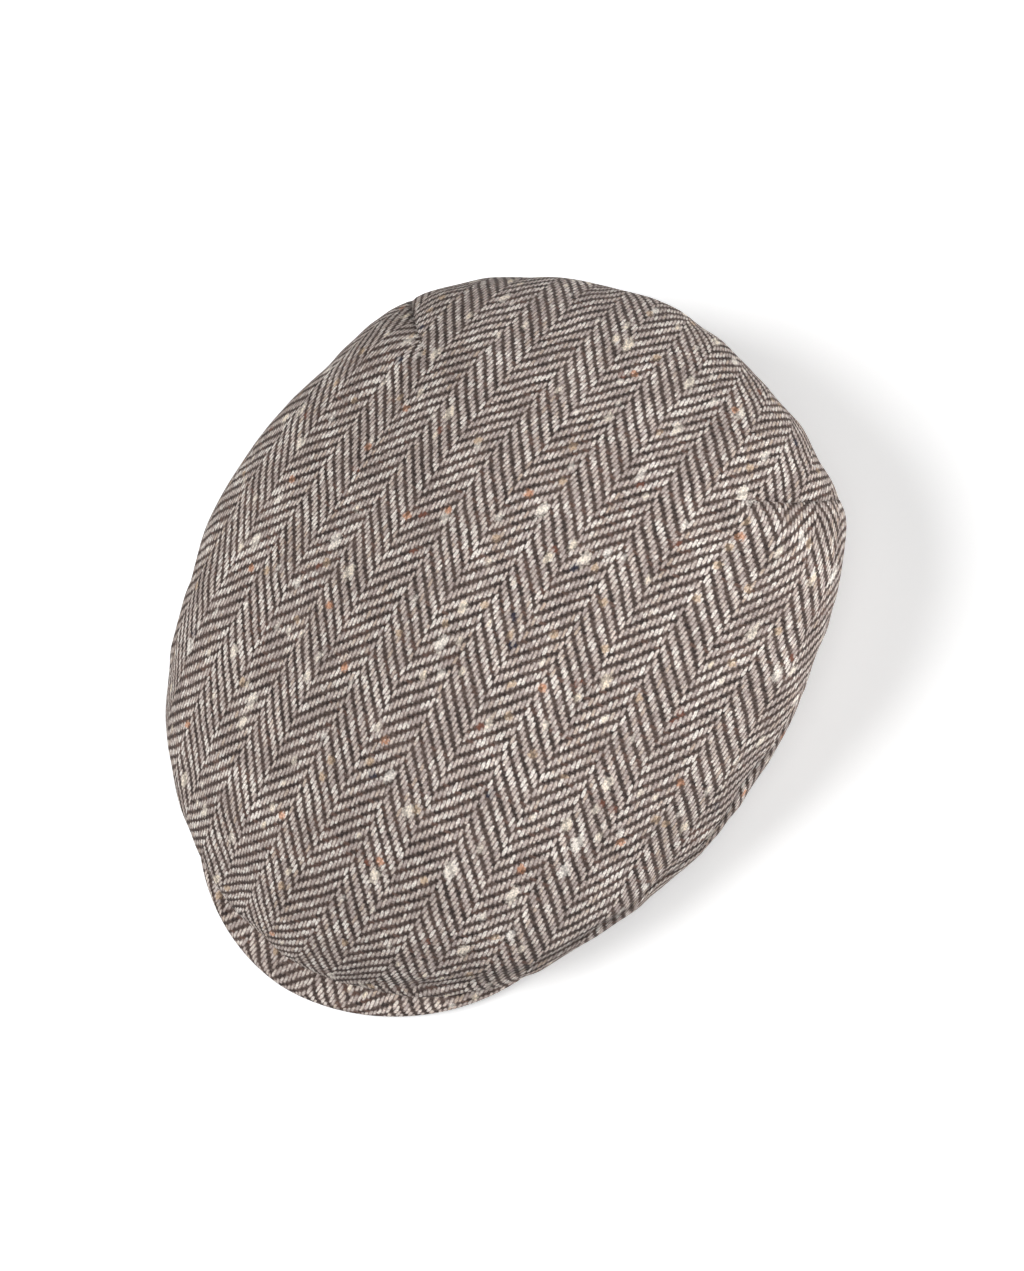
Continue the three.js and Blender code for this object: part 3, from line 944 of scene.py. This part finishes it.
def speck_mask(tree, distance, chance, wanted, radius, ragged):
    """1 inside a speck: the cell is chosen where its random value is below
    `wanted`, and its soft edge is roughened by noise."""
    chosen = calc(tree, "LESS_THAN", chance, wanted)
    rough = calc(tree, "MULTIPLY", calc(tree, "MULTIPLY_ADD", ragged, *SPECK_ROUGH), radius)
    inside = calc(tree, "SUBTRACT", rough, distance)
    edge = smooth_step(tree, inside, -SPECK_SOFT, SPECK_SOFT)
    return calc(tree, "MULTIPLY", chosen, edge)


print("nep cells:", NEP_CELLS[0], "threads by", NEP_CELLS[1], "picks")


# %% The two yarns
def scaled_color(tree, color, factor):
    """A colour times a value."""
    node = tree.nodes.new("ShaderNodeVectorMath")
    node.operation = "SCALE"
    fill(tree, node, {0: color, "Scale": factor})
    return node.outputs[0]


def stretch_of(tree, count, share):
    """The number of the stretch of yarn that a count falls in: floor(count * share)."""
    return calc(tree, "FLOOR", calc(tree, "MULTIPLY", count, share))


def warp_yarn(tree, v, thread, areas, fat_places):
    """Grey to cream by slow noise along the thread, beige for a few stretches, white
    where it is fat. Returns the colour and how fat it is."""
    at_thread = calc(tree, "MULTIPLY", thread, WARP_APART)
    along = pack_vector(tree, at_thread, calc(tree, "MULTIPLY", v, WARP_DRIFT))
    fat_along = pack_vector(tree, at_thread, calc(tree, "MULTIPLY", v, FAT_DRIFT), FAT_PLACE)
    fat = calc(tree, "MULTIPLY_ADD", areas, AREA_IN_FAT, noise(tree, fat_along, 1.0))
    fat = calc(tree, "MULTIPLY", smooth_step(tree, fat, *TO_FAT), fat_places)
    by_chance = random_of(tree, thread, stretch_of(tree, v, WARP_STRETCH))
    cream = smooth_step(tree, noise(tree, along, 1.0), *TO_CREAM)
    color = blend_colors(tree, cream, GREY, CREAM)
    color = blend_colors(tree, smooth_step(tree, by_chance, *TO_BEIGE), color, BEIGE)
    return blend_colors(tree, fat, color, WHITE), fat


def weft_yarn(tree, cloth, u, pick, height):
    """Black-brown to brown along the pick, red-brown for some stretches, with painted
    shade that darkens the yarn's edges between the picks, and stray light fibres over it."""
    along = pack_vector(
        tree, calc(tree, "MULTIPLY", u, WEFT_DRIFT), calc(tree, "MULTIPLY", pick, WEFT_APART)
    )
    brown = smooth_step(tree, noise(tree, along, 1.0, 3.0), *TO_BROWN)
    color = blend_colors(tree, brown, BLACK_BROWN, BROWN)
    by_chance = random_of(tree, stretch_of(tree, u, WEFT_STRETCH), pick)
    red = calc(tree, "MULTIPLY", smooth_step(tree, by_chance, *TO_RED_BROWN), RED_BROWN_MOST)
    color = blend_colors(tree, red, color, RED_BROWN)
    # painted shade: the weft is darker at its edges, where it dips between picks, and lighter on its
    # round top
    color = scaled_color(tree, color, calc(tree, "MULTIPLY_ADD", height, WEFT_TOP_PAINTED_LIGHT, WEFT_EDGE_PAINTED_SHADE))
    stray = smooth_step(tree, noise(tree, cloth, *STRAY), *TO_STRAY)
    return blend_colors(tree, calc(tree, "MULTIPLY", stray, STRAY_MOST), color, LIGHT_GAP)


print("light yarns:", GREY[:3], "to", WHITE[:3])


# %% Neps and flecks over the yarns
def add_neps(tree, cloth, rib, share, ragged, color):
    """Fat lumps of the light yarn, a little thinner over the dark bands. Returns
    the colour and the neps' mask."""
    distance, chance, kind, size = scatter(tree, cloth, *NEP_CELLS)
    grown = calc(tree, "MULTIPLY", size, size)
    radius = calc(tree, "MULTIPLY_ADD", grown, NEP_GROWTH, NEP_SMALLEST)
    nep = speck_mask(tree, distance, chance, share, radius, ragged)
    nep = calc(tree, "MULTIPLY", nep, calc(tree, "MULTIPLY_ADD", rib, NEP_ON_RIB, NEP_COVER))
    nep_color = blend_colors(tree, kind, NEP_WHITE, NEP_CREAM)
    return blend_colors(tree, nep, color, nep_color), nep


def add_flecks(tree, cloth, rib, ragged, color):
    """Small coloured specks: each kind takes its own span of the random values."""
    distance, chance, _, _ = scatter(tree, cloth, *FLECK_CELLS)
    for (between, on_rib), share, start, fleck in FLECKS.values():
        picked = calc(tree, "SUBTRACT", chance, start)
        mask = speck_mask(tree, distance, picked, share, FLECK_RADIUS, ragged)
        mask = calc(tree, "MULTIPLY", calc(tree, "GREATER_THAN", picked, 0.0), mask)
        cover = blend_values(tree, rib, between, on_rib)
        color = blend_colors(tree, calc(tree, "MULTIPLY", mask, cover), color, fleck)
    return color


print("fleck shares:", [share for _, share, _, _ in FLECKS.values()])


# %% The tweed group: colour and height
def tweed_group():
    """Dark weft behind, the half-tone between light strokes on the ribs, and the
    strokes themselves; then neps, flecks and the fibres' fine grain."""
    tree, gin, gout = new_group(
        "tweed yarns",
        dict.fromkeys(FROM_WEAVE, 0.0)
        | {"Nep share": 0.2, "Fat places": 1.0, "Grain": 1.8, "Level": 1.0},
        {"Color": "Color", "Height": "Float"},
    )
    cloth, rib, weft_height = (gin.outputs[k] for k in ("Cloth", "Rib", "Weft height"))
    # shade is the painted shade of the seams and the crease, from the cloth attribute
    u, v, shade = split_cloth(tree, cloth)
    areas, ragged = noise(tree, cloth, *AREAS), noise(tree, cloth, *RAGGED)
    light, fat = warp_yarn(tree, v, gin.outputs["Thread"], areas, gin.outputs["Fat places"])
    dark = weft_yarn(tree, cloth, u, gin.outputs["Pick"], weft_height)
    # the half-tone of the ribs, then the strokes, wider where the yarn is fat
    color = blend_colors(tree, rib, dark, LIGHT_GAP)
    uneven = calc(tree, "SUBTRACT", noise(tree, cloth, *UNEVEN), 0.5)
    edge = calc(tree, "MULTIPLY_ADD", fat, FAT_WIDENS, gin.outputs["Stroke"])
    edge = calc(tree, "MULTIPLY_ADD", uneven, UNEVEN_WIDENS, edge)
    stroke = smooth_step(tree, edge, *STROKE_EDGE)
    color = blend_colors(tree, stroke, color, light)
    color, nep = add_neps(tree, cloth, rib, gin.outputs["Nep share"], ragged, color)
    color = add_flecks(tree, cloth, rib, ragged, color)
    # fine grain of fibres, slow light and dark areas, and the painted shade of the seams and the
    # crease
    grain = calc(tree, "SUBTRACT", noise(tree, cloth, *GRAIN), 0.5)
    level = calc(tree, "MULTIPLY_ADD", grain, gin.outputs["Grain"], gin.outputs["Level"])
    slow = calc(tree, "SUBTRACT", areas, 0.5)
    level = calc(tree, "MULTIPLY_ADD", slow, AREA_IN_LEVEL, level)
    # the painted shade darkens the colour here
    unshaded = calc(tree, "SUBTRACT", 1.0, shade)
    color = scaled_color(tree, color, calc(tree, "MULTIPLY", level, unshaded))
    height = calc(tree, "MAXIMUM", calc(tree, "MULTIPLY", weft_height, WEFT_HEIGHT), stroke)
    height = calc(tree, "MULTIPLY_ADD", nep, NEP_HEIGHT, height)
    fill(tree, gout, {"Color": color, "Height": height})
    return tree


tweed = tweed_group()
print("tweed nodes:", len(tweed.nodes))


# %% Materials for the crown and the peak
# height in metres of a light stroke over the ground, and how much of it shows
RELIEF = {"Distance": 0.0005, "Strength": 0.6}
# fixed values of the Principled shader: rough wool with a faint warm sheen
WOOL = {
    "Roughness": 0.95,
    "Specular IOR Level": 0.12,
    "Sheen Weight": 0.08,
    "Sheen Roughness": 0.5,
    "Sheen Tint": (1.0, 0.93, 0.90, 1),
}
# piece: (imported node, slot, nep share, fat places, brightness); the peak's cloth
# has fewer neps in the photo, and it is drawn a little lighter as painted light,
# for the light that the peak catches more than the crown
DRESS = {
    crown: ("crown", "crown_tweed", 0.17, 1.0, 0.965),
    peak: ("peak", "peak_tweed", 0.06, 0.6, 1.06),
}


def tweed_material(name, nep_share, fat_places, level):
    """Weave and yarn groups into Base Color, and their height into a Bump node."""
    material = bpy.data.materials.new(name)
    material.use_nodes = True
    tree = material.node_tree
    shader = tree.nodes["Principled BSDF"]
    attribute = tree.nodes.new("ShaderNodeAttribute")
    attribute.attribute_name = "cloth"
    cloth = attribute.outputs["Vector"]
    weave = tree.nodes.new("ShaderNodeGroup")
    weave.node_tree = herringbone
    fill(tree, weave, {"Cloth": cloth})
    yarns = tree.nodes.new("ShaderNodeGroup")
    yarns.node_tree = tweed
    fill(tree, yarns, {"Cloth": cloth, **{output.name: output for output in weave.outputs}})
    fill(tree, yarns, {"Nep share": nep_share, "Fat places": fat_places, "Level": level})
    bump = tree.nodes.new("ShaderNodeBump")
    fill(tree, bump, {"Height": yarns.outputs["Height"], **RELIEF})
    looks = {"Base Color": yarns.outputs["Color"], "Normal": bump.outputs["Normal"]}
    fill(tree, shader, {**looks, **WOOL})
    return material


for piece, (node, slot, *look) in DRESS.items():
    piece.data.materials.append(tweed_material(node + " tweed", *look))
    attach(piece, "root")
    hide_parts(node)
print("materials:", [m.name for m in bpy.data.materials])

# %% [markdown]
# ## Floor, light and camera
# The photo is a cut-out on white under very soft light that comes mostly from
# its two sides. So the cap stands on a plain pale floor under a faint sky, with
# a broad sun from the right of the picture, a weaker one from its left, and a
# faint one from the camera. The camera looks down on the top from the left
# front, rolled so that the peak points to the lower left, from 1.5 m away.

# %% Floor
HALF_FLOOR = 3.0
# Seen directly the floor is white and glows a little, as paper lit from behind,
# but it throws little light back on the cap, because nothing in the photo does
FLOOR_SEEN = (0.95, 0.95, 0.95, 1)
FLOOR_BOUNCE = (0.25, 0.25, 0.25, 1)
FLOOR_GLOW = 0.36
FLOOR_PAINT = {
    "Emission Color": (1.0, 1.0, 1.0, 1),
    "Roughness": 0.9,
    "Specular IOR Level": 0.1,
}


def seen_directly(tree):
    """1 for what the camera sees directly and 0 for light that comes by way of it."""
    return tree.nodes.new("ShaderNodeLightPath").outputs["Is Camera Ray"]


floor_mesh = bpy.data.meshes.new("floor")
corners = HALF_FLOOR * np.array([(-1, -1, 0), (1, -1, 0), (1, 1, 0), (-1, 1, 0)])
floor_mesh.from_pydata(corners.tolist(), [], [(0, 1, 2, 3)])
floor = add_object("floor", floor_mesh)
floor_material = bpy.data.materials.new("pale floor")
floor_material.use_nodes = True
floor_tree = floor_material.node_tree
floor_shader = floor_tree.nodes["Principled BSDF"]
seen = seen_directly(floor_tree)
floor_color = blend_colors(floor_tree, seen, FLOOR_BOUNCE, FLOOR_SEEN)
floor_glow = calc(floor_tree, "MULTIPLY", seen, FLOOR_GLOW)
floor_looks = {"Base Color": floor_color, "Emission Strength": floor_glow}
fill(floor_tree, floor_shader, {**floor_looks, **FLOOR_PAINT})
floor.data.materials.append(floor_material)
print("floor side:", 2 * HALF_FLOOR, "m")

# %% Camera
# how far the view leans to the left and to the front, and the roll, in degrees
TILT_ACROSS, TILT_ALONG, ROLL = np.radians([25.38, 9.79, 33.07])
DISTANCE = 1.5
MM_PER_PIXEL = 0.336
FRAME_WIDTH, FRAME_HEIGHT = 1024, 1271
SENSOR = 36.0
# a point in the cap, and the pixel of the photo that it is seen at
TARGET = Vector((-0.00110, -0.00866, 0.050))
TARGET_PIXEL = (449.0, 643.3)

towards = Vector((np.tan(TILT_ACROSS), -np.tan(TILT_ALONG), 1)).normalized()
front = Vector((0, -1, 0))
front = (front - towards * front.dot(towards)).normalized()
aside = (-front).cross(towards)
aside = aside if aside.x > 0 else -aside
up = -front * np.cos(ROLL) - aside * np.sin(ROLL)
right = aside * np.cos(ROLL) - front * np.sin(ROLL)
camera_data = bpy.data.cameras.new("camera")
camera = add_object("camera", camera_data)
turned = Matrix((right, up, towards)).transposed().to_4x4()
camera.matrix_world = Matrix.Translation(TARGET + towards * DISTANCE) @ turned
camera_data.sensor_fit = "HORIZONTAL"
camera_data.sensor_width = SENSOR
camera_data.lens = SENSOR * DISTANCE * 1000 / (FRAME_WIDTH * MM_PER_PIXEL)
camera_data.shift_x = (FRAME_WIDTH / 2 - TARGET_PIXEL[0]) / FRAME_WIDTH
camera_data.shift_y = (TARGET_PIXEL[1] - FRAME_HEIGHT / 2) / FRAME_WIDTH
bpy.context.scene.camera = camera
print("lens:", round(camera_data.lens, 1), "mm")

# %% Light
# the sky's brightness as light on the cap, and as the camera sees it
SKY_LIGHT = 0.08
SKY_SEEN = 0.92
# name: (right, up and towards the camera as a direction, degrees across, watts per m2)
SUNS = {
    "right sun": (1.00, 0.05, 0.38, 30, 4.70),
    "left sun": (-1.00, 0.05, 0.58, 40, 2.60),
    "camera sun": (0.00, 0.00, 1.00, 40, 0.65),
}

world = bpy.data.worlds.new("soft sky")
world.use_nodes = True
background = world.node_tree.nodes["Background"]
strength = blend_values(world.node_tree, seen_directly(world.node_tree), SKY_LIGHT, SKY_SEEN)
fill(world.node_tree, background, {"Color": (1.0, 1.0, 1.0, 1), "Strength": strength})
bpy.context.scene.world = world
for name, (to_right, to_top, to_camera, across, watts) in SUNS.items():
    sun_data = bpy.data.lights.new(name, "SUN")
    sun_data.angle = np.radians(across)
    sun_data.energy = watts
    sun = add_object(name, sun_data)
    sun.location = right * to_right + up * to_top + towards * to_camera
    sun.rotation_euler = sun.location.to_track_quat("Z", "Y").to_euler()
    print(name, "shines from", [round(v, 2) for v in sun.location])
bpy.context.scene.view_settings.view_transform = "Standard"
